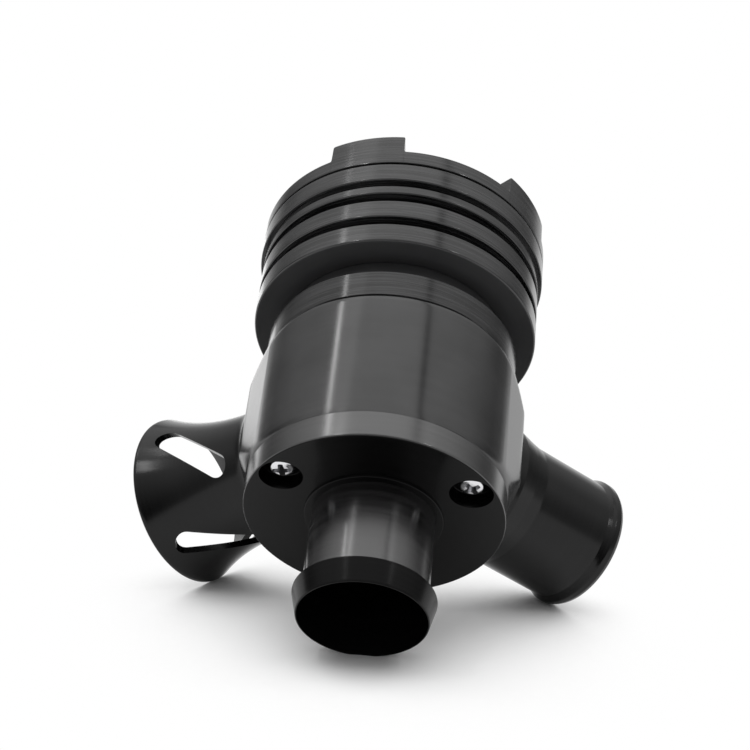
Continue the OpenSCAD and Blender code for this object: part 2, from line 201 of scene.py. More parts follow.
def turnedBlack(name, ior, gloss, dull, dark, light, lineShare=0.75):
    material, sheet = newFinish(name)
    place, x, reach = turnedPlace(sheet)
    stretched = sheet.add("ShaderNodeCombineXYZ", None, {
        0: x * anodised["linesRound"], 1: x.of("Y") * anodised["linesRound"],
        2: (x.of("Z") + reach * anodised["faceShare"]) * anodised["linesPerMetre"]})
    lines = noise(sheet, stretched, 1.0, 3.0, 0.65)
    grain = noise(sheet, place, anodised["grainPerMetre"], 1.0)
    cloud = noise(sheet, place, anodised["cloudPerMetre"], 3.0)
    height = lines * anodised["ringDepth"] + grain * anodised["grainDepth"]
    lineShade = between(sheet, lines, (0.44, 0.0), (0.62, lineShare))
    shade = lineShade + between(sheet, cloud, (0.35, 0.0), (0.7, 1.0 - lineShare))
    surface(sheet, {"Base Color": tinted(sheet, shade, (dark, dark, dark * 1.04), (light, light, light * 1.03)),
                    "Roughness": roughness(sheet, cloud * 0.6 + lines * 0.4, gloss, dull),
                    "IOR": ior, "Anisotropic": anodised["sideways"],
                    "Anisotropic Rotation": anodised["sidewaysTurn"], "Normal": bumped(sheet, height, 0.9)})
    return material


# bare turned aluminium of the piston and the spring seat
bareTurned = {"linesPerMetre": 4200.0, "cloudPerMetre": 90.0, "lineDepth": 0.000006}


def bareAluminium(name):
    material, sheet = newFinish(name)
    place, x, reach = turnedPlace(sheet)
    perMetre = bareTurned["linesPerMetre"]
    rings = lineNoise(sheet, x.of("Z"), perMetre) + lineNoise(sheet, reach, perMetre)
    cloud = noise(sheet, place, bareTurned["cloudPerMetre"], 3.0)
    surface(sheet, {"Base Color": tinted(sheet, cloud, (0.50, 0.51, 0.52), (0.66, 0.66, 0.66)),
                    "Metallic": 1.0, "Roughness": roughness(sheet, cloud, 0.28, 0.42),
                    "Normal": bumped(sheet, rings * bareTurned["lineDepth"], 1.0)})
    return material


# moulded seal rubber with a faint bloom
moulded = {"grainPerMetre": 3500.0, "bloomPerMetre": 160.0, "grainDepth": 0.00001}


def sealRubber(name):
    material, sheet = newFinish(name)
    place = sheet.add("ShaderNodeTexCoord", out="Object")
    grain = noise(sheet, place, moulded["grainPerMetre"], 3.0)
    bloom = noise(sheet, place, moulded["bloomPerMetre"], 3.0)
    surface(sheet, {"Base Color": tinted(sheet, bloom, (0.008, 0.008, 0.008), (0.026, 0.026, 0.027)),
                    "Roughness": roughness(sheet, bloom, 0.5, 0.68),
                    "Normal": bumped(sheet, grain * moulded["grainDepth"], 0.6)})
    return material


# drawn metal: spring wire, plated screws, the dark faces inside their crosses, which is painted shade, and the copper
# washer
drawn = {"cloudPerMetre": 220.0, "grainDepth": 0.000006}


def drawnMetal(name, dark, light, gloss, dull, grainPerMetre):
    material, sheet = newFinish(name)
    place = sheet.add("ShaderNodeTexCoord", out="Object")
    grain = noise(sheet, place, grainPerMetre, 3.0)
    cloud = noise(sheet, place, drawn["cloudPerMetre"], 2.0)
    surface(sheet, {"Base Color": tinted(sheet, cloud, dark, light), "Metallic": 1.0,
                    "Roughness": roughness(sheet, cloud * 0.6 + grain * 0.4, gloss, dull),
                    "Normal": bumped(sheet, grain * drawn["grainDepth"], 0.8)})
    return material


# filled sliding plastic of the guide band
filled = {"flecksPerMetre": 1800.0}


def guidePlastic(name):
    material, sheet = newFinish(name)
    place = sheet.add("ShaderNodeTexCoord", out="Object")
    fleck = noise(sheet, place, filled["flecksPerMetre"], 4.0)
    surface(sheet, {"Base Color": tinted(sheet, fleck, (0.20, 0.125, 0.055), (0.33, 0.22, 0.11)),
                    "Roughness": roughness(sheet, fleck, 0.42, 0.58)})
    return material


# the lower the refraction, the deeper the black where a face mirrors the white floor; some blacks below are lit and
# shaded copies of one finish, carrying painted reflection, painted shade and painted fill light
blackMain = turnedBlack("turned_black", ior=1.64, gloss=0.14, dull=0.22, dark=0.002, light=0.03, lineShare=0.3)
blackRing = turnedBlack("ring_black", ior=1.59, gloss=0.14, dull=0.22, dark=0.002, light=0.044)
blackBand = turnedBlack("band_black", ior=1.48, gloss=0.14, dull=0.22, dark=0.002, light=0.04)
# lit copy of the black: refraction raised to 2.0 brightens the reflection on the inlet's neck and rim, a painted
# reflection
blackLitCopy = turnedBlack("lit_copy_black", ior=2.0, gloss=0.2, dull=0.28, dark=0.002, light=0.02)
# shaded copy of the black: refraction and colour lowered so that the inlet's underside, mouth and bore mirror the floor
# darker, painted shade
blackShadedCopy = turnedBlack("shaded_copy_black", ior=1.25, gloss=0.16, dull=0.24, dark=0.0015, light=0.003)
# trumpet and pipe: refraction and colour lowered so that their floor-facing sides mirror the white floor darker,
# painted shade
blackPortShaded = turnedBlack("port_shaded_black", ior=1.37, gloss=0.15, dull=0.22, dark=0.001, light=0.003)
# rougher black with its colour lifted to stand in for light under the head, painted fill light
blackPaintedFill = turnedBlack("painted_fill_black", ior=1.4, gloss=0.42, dull=0.55, dark=0.028, light=0.036, lineShare=0.3)
aluminium = bareAluminium("bare_aluminium")
rubber = sealRubber("seal_rubber")
wire = drawnMetal("spring_wire", dark=(0.36, 0.36, 0.38), light=(0.52, 0.52, 0.54), gloss=0.28, dull=0.42,
                  grainPerMetre=5000.0)
plated = drawnMetal("plated_screw", dark=(0.70, 0.70, 0.72), light=(0.86, 0.86, 0.87), gloss=0.14, dull=0.24,
                    grainPerMetre=7000.0)
# dark copy for the faces inside the screws' crosses, painted shade in the recess
paintedRecessShade = drawnMetal("painted_recess_shade", dark=(0.04, 0.04, 0.042), light=(0.10, 0.10, 0.10), gloss=0.3, dull=0.5,
                    grainPerMetre=7000.0)
copper = drawnMetal("copper_washer", dark=(0.62, 0.31, 0.16), light=(0.80, 0.46, 0.28), gloss=0.25, dull=0.40,
                    grainPerMetre=6000.0)
plastic = guidePlastic("guide_plastic")
finishes = {
    "black_anodised": blackMain, "bare_aluminium": aluminium, "seal_rubber": rubber,
    "spring_wire": wire, "bright_screw": plated, "guide_plastic": plastic, "copper_washer": copper}
for entry in frame["record"]["subparts"]:
    nodes[entry["node"]].data.materials.clear()
    nodes[entry["node"]].data.materials.append(finishes[entry["material_slot"]])
print("finishes made:", len(bpy.data.materials))


# closed outline from (radius, height, fillet) corners, in millimetres
def filleted(corners, perTurn=36):
    outline = []
    for i, (x, y, fillet) in enumerate(corners):
        here = Vector((x, y))
        before = Vector(corners[i - 1][:2]) - here
        after = Vector(corners[(i + 1) % len(corners)][:2]) - here
        inside = before.angle(after)
        if fillet <= 0 or inside > 3.1:  # sharp, or nearly straight
            outline.append((x, y))
            continue
        cut = min(fillet / math.tan(inside / 2), 0.48 * before.length, 0.48 * after.length)
        radius = cut * math.tan(inside / 2)
        first, second = before.normalized(), after.normalized()
        centre = here + (first + second).normalized() * (radius / math.sin(inside / 2))
        start, end = here + first * cut - centre, here + second * cut - centre
        sweep = math.pi - inside
        steps = max(2, round(perTurn * sweep / (2 * math.pi)))
        for k in range(steps + 1):
            t = k / steps
            spot = centre + (start * math.sin((1 - t) * sweep) + end * math.sin(t * sweep)) / math.sin(sweep)
            outline.append((spot.x, spot.y))
    return outline


# solid whose closed outline may change from one angle to the next
def polarSolid(name, outlines, angles):
    mesh = bpy.data.meshes.new(name)
    rows = len(outlines[0])
    spots = [(r * math.sin(a) * mm, -r * math.cos(a) * mm, z * mm)
             for a, outline in zip(angles, outlines) for r, z in outline]
    faces = []
    for j in range(len(angles)):
        here, there = j * rows, (j + 1) % len(angles) * rows
        for i in range(rows):
            k = (i + 1) % rows
            faces.append((here + i, there + i, there + k, here + k))
    mesh.from_pydata(spots, [], faces)
    shape = bmesh.new()
    shape.from_mesh(mesh)
    bmesh.ops.remove_doubles(shape, verts=shape.verts, dist=1e-8)
    bmesh.ops.dissolve_degenerate(shape, edges=shape.edges, dist=1e-9)
    bmesh.ops.recalc_face_normals(shape, faces=shape.faces)
    shape.to_mesh(mesh)
    shape.free()
    return add(name, mesh)


# turned piece: one outline all the way round
def turned(name, corners, around=256, perTurn=36):
    angles = [2 * math.pi * j / around for j in range(around)]
    return polarSolid(name, [filleted(corners, perTurn)] * around, angles)


# takes the cutters out of a piece and throws them away
def carve(piece, cutters):
    for cutter in cutters:
        step = piece.modifiers.new("cut", "BOOLEAN")
        step.operation = "DIFFERENCE"
        step.solver = "EXACT"
        step.object = cutter
    ready = piece.evaluated_get(bpy.context.evaluated_depsgraph_get())
    mesh = bpy.data.meshes.new_from_object(ready)
    piece.modifiers.clear()
    piece.data = mesh
    for cutter in cutters:
        bpy.data.objects.remove(cutter)


# prism from a flat outline, swept by a matrix at its foot and one at its head
def prism(name, outline, foot, head):
    count = len(outline)
    spots = [matrix @ Vector((x * mm, y * mm, 0)) for matrix in (foot, head) for x, y in outline]
    faces = [tuple(range(count - 1, -1, -1)), tuple(range(count, 2 * count))]
    faces += [(i, (i + 1) % count, count + (i + 1) % count, count + i) for i in range(count)]
    mesh = bpy.data.meshes.new(name)
    mesh.from_pydata(spots, [], faces)
    return add(name, mesh)


# finish, soft shading and the ties to the frame
def fit(piece, node, body, finish, crease=32, others=()):
    piece.data.materials.clear()
    piece.data.materials.append(finish)
    # other finishes, each with the faces that it covers
    for number, (other, covers) in enumerate(others, 1):
        piece.data.materials.append(other)
        for face in piece.data.polygons:
            if covers(face):
                face.material_index = number
    piece.data.polygons.foreach_set("use_smooth", [True] * len(piece.data.polygons))
    piece.data.set_sharp_from_angle(angle=math.radians(crease))
    shading = piece.modifiers.new("shading", "WEIGHTED_NORMAL")
    shading.keep_sharp = True
    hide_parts(node)
    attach(piece, body)
    print("made", piece.name, "with", len(piece.data.polygons), "faces")


# frame of a side port: local Z points out of the port
def portFrame(degrees):
    return (Matrix.Translation((0, 0, levels["port"] * mm)) @ Matrix.Rotation(math.radians(degrees - 90), 4, "Z")
            @ Matrix.Rotation(math.radians(90), 4, "Y"))


# turn and shift from the main axis to one flange screw
def onScrewCircle(degrees):
    return Matrix.Rotation(math.radians(degrees), 4, "Z") @ Matrix.Translation((0, -bodySize["screwCircle"] * mm, 0))


# heights up the main axis in millimetres
levels = {"flange": 24.4, "seam": 30.3, "midTop": 60.65, "bodyTop": 67.55, "head": 72.15, "roof": 83.45,
          "plug": 85.25, "headTop": 88.65, "lockTop": 93.8, "cap": 94.3, "capTop": 97.8, "lugTop": 102.2,
          "port": 45.8}
portTurn = 126  # from the front to each port, in degrees
screwTurns = [60, 180, 300]  # from the front, in degrees
stubSize = {"radius": 11.95, "deep": 6.6}  # end of the trumpet or the pipe inside its port

bodySize = {"band": 26.5, "barrel": 29.0, "fullFrom": 36.8, "fullTo": 54.75, "frontRadius": 27.5, "frontBack": 1.2,
            "flatTurn": 68, "portFace": 24.3, "neck": 23.5, "bore": 16.5, "edge": 0.6, "softness": 0.16,
            "socket": 12.0, "socketDepth": 7.0, "passage": 10.0, "sealIn": 13.15, "sealOut": 14.65, "sealDeep": 1.2,
            "screwHole": 1.55, "screwHoleTop": 36.8, "screwCircle": 21.7, "lineDepth": 0.18, "lineTurn": 48,
            "lineFade": 22, "topSealIn": 20.45, "topSealOut": 22.45, "topSealDeep": 1.6, "leastLean": 0.3,
            "around": 360, "rows": 44}


def barrelRadius(z):
    low, high = levels["seam"], levels["midTop"]
    rise = min((z - low) / (bodySize["fullFrom"] - low), (high - z) / (high - bodySize["fullTo"]), 1)
    return bodySize["band"] + (bodySize["barrel"] - bodySize["band"]) * max(rise, 0)


# smooth least of some radii, so that milled edges come out slightly broken
def softLeast(values):
    least = min(values)
    k = bodySize["softness"]
    return least - k * math.log(sum(math.exp((least - v) / k) for v in values if v - least < 8))


def milledRadius(angle, base, withFront):
    options = [base]
    for side in (-1, 1):
        lean = math.cos(angle - side * math.radians(portTurn))
        if lean > bodySize["leastLean"]:
            options.append(bodySize["portFace"] / lean)
    if withFront:
        flat = math.radians(bodySize["flatTurn"])
        back, radius = bodySize["frontBack"], bodySize["frontRadius"]
        if abs(angle) < flat:
            across = -math.cos(angle) * back
            options.append(across + math.sqrt(across * across - back * back + radius * radius))
        elif math.cos(abs(angle) - flat) > bodySize["leastLean"]:
            options.append((radius - back * math.cos(flat)) / math.cos(abs(angle) - flat))
    return softLeast(options)


def makeBody():
    seam, top, shoulder, roof = levels["seam"], levels["midTop"], levels["bodyTop"], levels["roof"]
    size = bodySize
    angles = [math.pi * (2 * (j + 0.5) / size["around"] - 1) for j in range(size["around"])]
    foot, rows = seam + 0.12, size["rows"]
    heights = [foot + (top - 0.3 - foot) * i / rows for i in range(rows + 1)]
    neck, inner = size["neck"], size["bore"]
    sealIn, sealOut, groove = size["topSealIn"], size["topSealOut"], roof - size["topSealDeep"]
    outlines = []
    for angle in angles:
        # the joint line shows across the front and runs out at the sides
        line = size["lineDepth"] * max(0.0, min(1.0, (size["lineTurn"] - abs(math.degrees(angle))) / size["lineFade"]))
        middle, band = [milledRadius(angle, size["band"], withFront) for withFront in (True, False)]
        outer = [(middle - 0.08 - line, seam)]
        outer += [(milledRadius(angle, barrelRadius(z), True), z) for z in heights]
        outer += [(middle, top - 0.16), (min(middle, band) - line, top - 0.08), (min(middle, band) - line, top + 0.06),
                  (band, top + 0.16), (band, top + 1.5), (band, shoulder - 1.5), (band, shoulder - size["edge"])]
        outer += [(band - size["edge"], shoulder), (neck + 0.25, shoulder), (neck, shoulder + 0.25)]
        outer += [(neck, roof - 0.8), (neck - 0.8, roof), (sealOut, roof), (sealOut, groove), (sealIn, groove),
                  (sealIn, roof), (inner + 1.2, roof), (inner, roof - 1.2), (inner, seam)]
        outlines.append(outer)
    body = polarSolid("body_shell", outlines, angles)
    cutters = []
    for side in (-1, 1):
        face = size["portFace"]
        start, shelf, past = 8, face - size["socketDepth"], face + 4
        groove = face - size["sealDeep"]
        bore = turned("port_bore", [(0, start, 0), (size["passage"], start, 0), (size["passage"], shelf, 0),
                                    (size["socket"], shelf, 0), (size["socket"], past, 0), (0, past, 0)], 128)
        ring = turned("port_groove", [(size["sealIn"], groove, 0), (size["sealOut"], groove, 0),
                                      (size["sealOut"], past, 0), (size["sealIn"], past, 0)], 128)
        for cutter in (bore, ring):
            cutter.matrix_world = portFrame(side * portTurn)
            cutters.append(cutter)
    for degrees in screwTurns:
        wide, end = size["screwHole"], size["screwHoleTop"]
        hole = turned("screw_hole", [(0, seam - 2, 0), (wide, seam - 2, 0), (wide, end, 0), (0, end, 0)], 32)
        hole.matrix_world = onScrewCircle(degrees)
        cutters.append(hole)
    carve(body, cutters)
    # the upper band gets its own black, and the neck faces under the head get the lifted black with its painted fill
    # light
    fit(body, "body", "valve_body", blackMain, others=[
        (blackBand, lambda face: face.center.z > top * mm),
        (blackPaintedFill, lambda face: face.center.z > shoulder * mm and face.center.xy.length < (neck + 0.3) * mm)])


inletSize = {"bore": 11.0, "lip": 12.8, "mouth": 13.2, "barb": 14.3, "barbZ": 5.0, "neck": 12.5, "root": 14.1,
             "rootTall": 0.5, "lead": 9.0, "rim": 26.5, "seat": 33.3, "well": 4.4, "wellTop": 27.8, "hole": 1.7,
             "sealIn": 17.5, "sealOut": 19.1, "sealDeep": 1.4, "pilot": 16.4}


def makeInlet():
    size = inletSize
    low, seam = levels["flange"], levels["seam"]
    step, groove = low - size["rootTall"], seam - size["sealDeep"]
    corners = [(size["lip"], 0, 0.08), (size["mouth"] - 0.15, 0, 0.12), (size["mouth"], 0.5, 0.2),
               (size["barb"], size["barbZ"], 0.3), (size["neck"], size["barbZ"] + 0.7, 0.15),
               (size["neck"], step, 0), (size["root"] - 0.1, step, 0.16), (size["root"], low, 0),
               (size["rim"], low, 0.4), (size["rim"], seam, 0.14),
               (size["sealOut"], seam, 0), (size["sealOut"], groove, 0), (size["sealIn"], groove, 0),
               (size["sealIn"], seam, 0), (size["pilot"], seam, 0.05), (size["pilot"], size["seat"], 0.5),
               (size["bore"], size["seat"], 0.3), (size["bore"], size["lead"], 4.0)]
    inlet = turned("inlet_spigot", corners, 288)
    cutters = []
    for degrees in screwTurns:
        well = turned("screw_well", [(0, low - 3, 0), (size["well"], low - 3, 0),
                                     (size["well"], size["wellTop"], 0.25), (size["hole"], size["wellTop"], 0),
                                     (size["hole"], seam + 2, 0), (0, seam + 2, 0)], 96)
        well.matrix_world = onScrewCircle(degrees)
        cutters.append(well)
    carve(inlet, cutters)

    def onNeck(face):
        return abs(face.center.xy.length - size["neck"] * mm) < 0.2 * mm and face.center.z > size["barbZ"] * mm

    def onRim(face):
        return face.center.xy.length > (size["rim"] - 0.5) * mm and face.normal.z > -0.75

    # the inlet's neck and rim get the lit copy with its painted reflection, and the other faces get the shaded copy
    # with its painted shade
    fit(inlet, "inlet_adaptor", "valve_body", blackShadedCopy,
        others=[(blackLitCopy, onNeck), (blackLitCopy, onRim)])


screwSize = {"head": 2.8, "headTall": 2.2, "shank": 1.5, "long": 8.0, "low": 25.6, "cross": 1.9, "crossWide": 0.5,
             "crossDeep": 1.8, "turn": 20}


def makeScrews():
    size = screwSize
    low = size["low"]
    high = low + size["headTall"]
    wide, shank, tip = size["head"], size["shank"], high + size["long"]
    # pan head and shank
    domed = [(0, low, 0), (1.5, low + 0.04, 1.2), (2.4, low + 0.34, 0.9), (wide, low + 1.1, 0.5), (wide, high, 0.15),
             (shank, high, 0.05), (shank, tip - 0.5, 0.1), (shank - 0.5, tip, 0.1), (0, tip, 0)]
    w, reach = size["crossWide"], size["cross"]
    arms = []
    for k in range(4):
        c, s = math.cos(math.pi * k / 2), math.sin(math.pi * k / 2)
        for x, y in ((reach, -w), (reach + 0.1, 0), (reach, w), (w * 1.35, w * 1.35)):
            arms.append((x * c - y * s, x * s + y * c))
    group = bmesh.new()
    for degrees in screwTurns:
        screw = turned("screw", domed, 64)
        spin = Matrix.Rotation(math.radians(size["turn"] + degrees), 4, "Z")
        foot = spin @ Matrix.Translation((0, 0, (low - 0.2) * mm))
        head = spin @ Matrix.Translation((0, 0, (low + size["crossDeep"]) * mm)) @ Matrix.Scale(0.55, 4)
        carve(screw, [prism("cross", arms, foot, head)])
        screw.data.transform(onScrewCircle(degrees))
        group.from_mesh(screw.data)
        bpy.data.objects.remove(screw)
    mesh = bpy.data.meshes.new("cross_screws")
    group.to_mesh(mesh)
    group.free()
    screws = add("cross_screws", mesh)
    spots = [onScrewCircle(degrees).translation for degrees in screwTurns]

    # faces inside the cross, darkened with painted shade
    def inCrossShade(face):
        near = min((face.center.xy - spot.xy).length for spot in spots)
        return near < (reach + 0.2) * mm and (low + 0.4) * mm < face.center.z < (low + size["crossDeep"] + 0.1) * mm

    fit(screws, "flange_screws", "valve_body", plated, crease=28, others=[(paintedRecessShade, inCrossShade)])


headSize = {"outer": 30.3, "thread": 23.55, "plug": 20.05, "lowFin": 4.8, "midFin": 4.5, "groove": 2.25, "deep": 2.6}


def makeHead():
    size = headSize
    low, top, roof = levels["head"], levels["headTop"], levels["roof"]
    outer, floor = size["outer"], size["outer"] - size["deep"]
    first = low + size["lowFin"]
    second = first + size["groove"] + size["midFin"]
    corners = [(size["thread"], low, 0.2), (outer, low, 0.5)]
    for start in (first, second):
        corners += [(outer, start, 0.3), (floor, start, 0.15), (floor, start + size["groove"], 0.15),
                    (outer, start + size["groove"], 0.3)]
    corners += [(outer, top - 0.75, 0.12), (outer - 0.75, top, 0.12), (size["plug"], top, 0.1), (size["plug"], roof, 0),
                (size["thread"], roof, 0)]
    head = turned("finned_head", corners, 320)
    # the head's downward-facing underside gets the lifted black with its painted fill light
    fit(head, "head", "valve_body", blackRing, others=[
        (blackPaintedFill, lambda face: face.normal.z < -0.9 and face.center.z < (low + 0.2) * mm)])


ringSize = {"outer": 31.1, "plug": 20.05, "line": 0.5, "lineDeep": 1.2}


def makeLockRing():
    size = ringSize
    low, top = levels["headTop"], levels["lockTop"]
    inset = size["outer"] - size["lineDeep"]
    ring = turned("plain_ring", [(size["plug"], low, 0), (inset, low, 0), (inset, low + size["line"], 0),
                                 (size["outer"], low + size["line"], 0.28), (size["outer"], top, 0.32),
                                 (size["plug"], top, 0.1)], 320)
    fit(ring, "lock_ring", "lock_ring_turner", blackRing)


capSize = {"outer": 31.1, "lugThick": 6.0, "plug": 20.0, "sealDeep": 1.5, "sealLow": 1.4, "sealTall": 1.7, "dish": 1.2,
           "stud": 4.9, "studFloor": 87.6, "passage": 2.0, "firstLug": -18, "lugPitch": 77.5, "lugs": 4, "lugWide": 30,
           "edge": 0.35, "startTurn": -33.5, "around": 288}


def makeCap():
    size = capSize
    edges = []
    for k in range(size["lugs"]):
        middle = size["firstLug"] + k * size["lugPitch"]
        edges += [(middle - size["lugWide"] / 2, 1), (middle + size["lugWide"] / 2, -1)]
    spots = {round(size["startTurn"] + j * 360 / size["around"], 4) for j in range(size["around"])}
    spots = {a for a in spots if all(abs(a - e) > 1.1 for e, way in edges)}
    # turn from a lug's side and share of the lug's height there
    steps = [(-0.9, 0), (-0.35, 0.02), (-0.12, 0.12), (0.0, 0.5), (0.06, 0.9), (0.2, 0.965), (0.42, 0.99), (0.8, 1)]
    rise = {}
    for edge, way in edges:
        for offset, share in steps:
            rise[round(edge + way * offset, 4)] = share
    for a in spots:
        rise[a] = 1.0 if any(0 < (a - low) < size["lugWide"] for low, way in edges if way > 0) else 0.0
    turns = sorted(rise)
    plug, outer, base, top = levels["plug"], size["outer"], levels["cap"], levels["capTop"]
    inner, bevel = outer - size["lugThick"], size["edge"]
    wide, groove = size["plug"], size["plug"] - size["sealDeep"]
    sealLow = plug + size["sealLow"]
    sealTop = sealLow + size["sealTall"]
    bends = [math.pi / 2 * k / 4 for k in range(5)]
    outlines = []
    for a in turns:
        high = top + (levels["lugTop"] - top) * rise[a]
        rim = [(outer - bevel + bevel * math.cos(bend), high - bevel + bevel * math.sin(bend)) for bend in bends]
        rim += [(inner + bevel - bevel * math.sin(bend), max(high - bevel + bevel * math.cos(bend), top - 0.02))
                for bend in bends]
        outlines.append([(size["passage"], plug), (wide - 0.6, plug), (wide, plug + 0.6), (wide, sealLow),
                         (groove, sealLow), (groove, sealTop), (wide, sealTop), (wide, base),
                         (outer - 0.3, base), (outer - 0.09, base + 0.09), (outer, base + 0.3)] + rim +
                        [(inner, top - 0.05), (inner - 1, top - size["dish"]), (size["stud"], top - size["dish"]),
                         (size["stud"], size["studFloor"]), (size["passage"], size["studFloor"])])
    cap = polarSolid("lugged_cap", outlines, [math.radians(a) for a in turns])
    fit(cap, "cap", "cap_group", blackRing)


trumpetSize = {"neck": 13.5, "rim": 18.4, "foot": 15.2, "footEdge": 0.8, "footRun": 4.5, "flareFrom": 2.6, "long": 27.5,
               "rimThick": 0.6, "wall": 1.5, "clear": 11.4, "slots": 4, "slotFirst": 87, "slotMid": 15.3,
               "slotLong": 20.4, "slotWide": 4.9, "slotSlant": 36.5, "slotFrom": 8.0, "slotThrough": 20.0, "rows": 64}


def bell(s):
    size = trumpetSize
    foot = max(0, (size["footRun"] - s) / (size["footRun"] - size["footEdge"])) ** 2.2
    flare = max(0, (s - size["flareFrom"]) / (size["long"] - size["rimThick"] - size["flareFrom"])) ** 2.5
    return size["neck"] + (size["foot"] - size["neck"]) * foot + (size["rim"] - size["neck"]) * flare


def makeTrumpet():
    size = trumpetSize
    face, passage = bodySize["portFace"], bodySize["passage"]
    last = size["long"] - size["rimThick"]
    stub, stubEnd = stubSize["radius"], face - stubSize["deep"]
    rows, first = size["rows"], size["footEdge"]
    along = [first + (last - first) * i / rows for i in range(rows + 1)]
    inside = [(passage + (size["neck"] - size["wall"] - passage) * s / size["clear"] if s < size["clear"]
               else bell(s) - size["wall"], face + s, 0) for s in reversed(along)]
    corners = [(passage, stubEnd, 0.1), (stub, stubEnd, 0.3), (stub, face, 0), (size["foot"], face, 0.08)]
    corners += [(bell(s), face + s, 0) for s in along]
    corners += [(size["rim"], face + last + 0.3, 0.2), (size["rim"] - 0.2, face + size["long"], 0.2),
                (size["rim"] - 1.2, face + size["long"], 0.25)] + inside
    trumpet = turned("slotted_trumpet", corners, 256)
    half, end = (size["slotLong"] - size["slotWide"]) / 2, size["slotWide"] / 2
    outline = []
    for side in (1, -1):
        for k in range(17):
            bend = math.pi * (k / 16 - 0.5)
            outline.append((side * (half + end * math.cos(bend)), side * end * math.sin(bend)))
    cutters = []
    for k in range(size["slots"]):
        put = (Matrix.Rotation(math.radians(size["slotFirst"] + 360 * k / size["slots"]), 4, "Z")
               @ Matrix.Translation((size["slotFrom"] * mm, 0, (face + size["slotMid"]) * mm))
               @ Matrix.Rotation(math.radians(90), 4, "Y") @ Matrix.Rotation(math.radians(-size["slotSlant"]), 4, "Z"))
        cutters.append(prism("slot", outline, put, put @ Matrix.Translation((0, 0, size["slotThrough"] * mm))))
    carve(trumpet, cutters)
    trumpet.matrix_world = portFrame(-portTurn)
    fit(trumpet, "trumpet", "valve_body", blackPortShaded, crease=40)


pipeSize = {"pipe": 13.8, "bead": 14.6, "long": 31.0, "foot": 15.2, "footTall": 2.6, "wall": 2.4}


def makePipe():
    size = pipeSize
    face, passage = bodySize["portFace"], bodySize["passage"]
    end = face + size["long"]
    pipe, bead, inside = size["pipe"], size["bead"], size["pipe"] - size["wall"]
    stub, stubEnd = stubSize["radius"], face - stubSize["deep"]
    corners = [(passage, stubEnd, 0.1), (stub, stubEnd, 0.3), (stub, face, 0), (size["foot"], face, 0.1),
               (size["foot"], face + size["footTall"], 1.2), (pipe + 0.55, face + 6.2, 3.0), (pipe, face + 9.2, 3.0),
               (pipe, end - 4.2, 0.4), (bead - 0.4, end - 3.3, 0.5), (bead, end - 2.6, 0.7), (bead, end - 1.4, 0.7),
               (bead - 0.5, end - 0.5, 0.6), (bead - 1.4, end, 0.5), (pipe - 2.0, end, 0.25),
               (inside, end - 0.5, 0.25), (inside, face + 6.6, 1.0), (passage, face + 4.6, 1.0)]
    outlet = turned("beaded_pipe", corners, 256, 60)
    outlet.matrix_world = portFrame(portTurn)
    fit(outlet, "outlet_pipe", "valve_body", blackPortShaded, crease=40)


springSize = {"wire": 2.2, "coil": 21.6, "turns": 8, "stepsPerTurn": 48, "sides": 16, "stroke": 14.0,
              "seatRoom": 0.4}


# round wire with closed, ground end turns; the real spring shortens as the piston rises, this mesh keeps one length
def makeSpring():
    size = springSize
    low, high = [corner[2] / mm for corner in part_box("spring")]
    high -= size["seatRoom"]  # room for the seat, which comes down 0.375 mm as the cap is screwed in
    thick, turns, steps, sides = size["wire"], size["turns"], size["stepsPerTurn"], size["sides"]
    climb = (high - low - 2 * thick) / (turns - 2)  # pitch of the open turns
    spots, faces = [], []
    for i in range(turns * steps + 1):
        turn = i / steps
        closed = min(turn, 1) + max(0, turn - turns + 1)
        height = low + thick * closed + climb * max(0, min(turn - 1, turns - 2))
        c, s = math.cos(2 * math.pi * turn), math.sin(2 * math.pi * turn)
        for k in range(sides):
            bend = 2 * math.pi * k / sides
            reach = size["coil"] / 2 + thick / 2 * math.cos(bend)
            level = min(high, max(low, height + thick / 2 * math.sin(bend)))  # ground flat at both ends
            spots.append((reach * c * mm, reach * s * mm, level * mm))
    for i in range(turns * steps):
        for k in range(sides):
            here, there = i * sides, (i + 1) * sides
            faces.append((here + k, here + (k + 1) % sides, there + (k + 1) % sides, there + k))
    faces += [tuple(range(sides)), tuple(range(turns * steps * sides, (turns * steps + 1) * sides))]
    mesh = bpy.data.meshes.new("coil_spring")
    mesh.from_pydata(spots, [], faces)
    shape = bmesh.new()
    shape.from_mesh(mesh)
    bmesh.ops.recalc_face_normals(shape, faces=shape.faces)
    shape.to_mesh(mesh)
    shape.free()
    coil = add("coil_spring", mesh)
    fit(coil, "spring", "valve_body", wire, crease=50)
    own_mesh(coil)


makeBody()
makeInlet()
makeScrews()
makeHead()
makeLockRing()
makeCap()
makeTrumpet()
makePipe()
makeSpring()
print("pieces made")

# the valve lies on its inlet mouth, the trumpet's rim and the pipe's bead
feet = ["inlet_adaptor", "trumpet", "outlet_pipe"]
up = Vector((-0.038, -0.772, 0.634)).normalized()
for attempt in range(12):  # settles in a few rounds
    lowest = [min((v.co for v in nodes[name].data.vertices), key=lambda p: p.dot(up)) for name in feet]
    normal = (lowest[1] - lowest[0]).cross(lowest[2] - lowest[0]).normalized()
    up = normal if normal.dot(up) > 0 else -normal
floorHeight = lowest[0].dot(up)
print("floor lies under", feet, "up is", [round(c, 4) for c in up], "at", round(floorHeight / mm, 2), "mm")

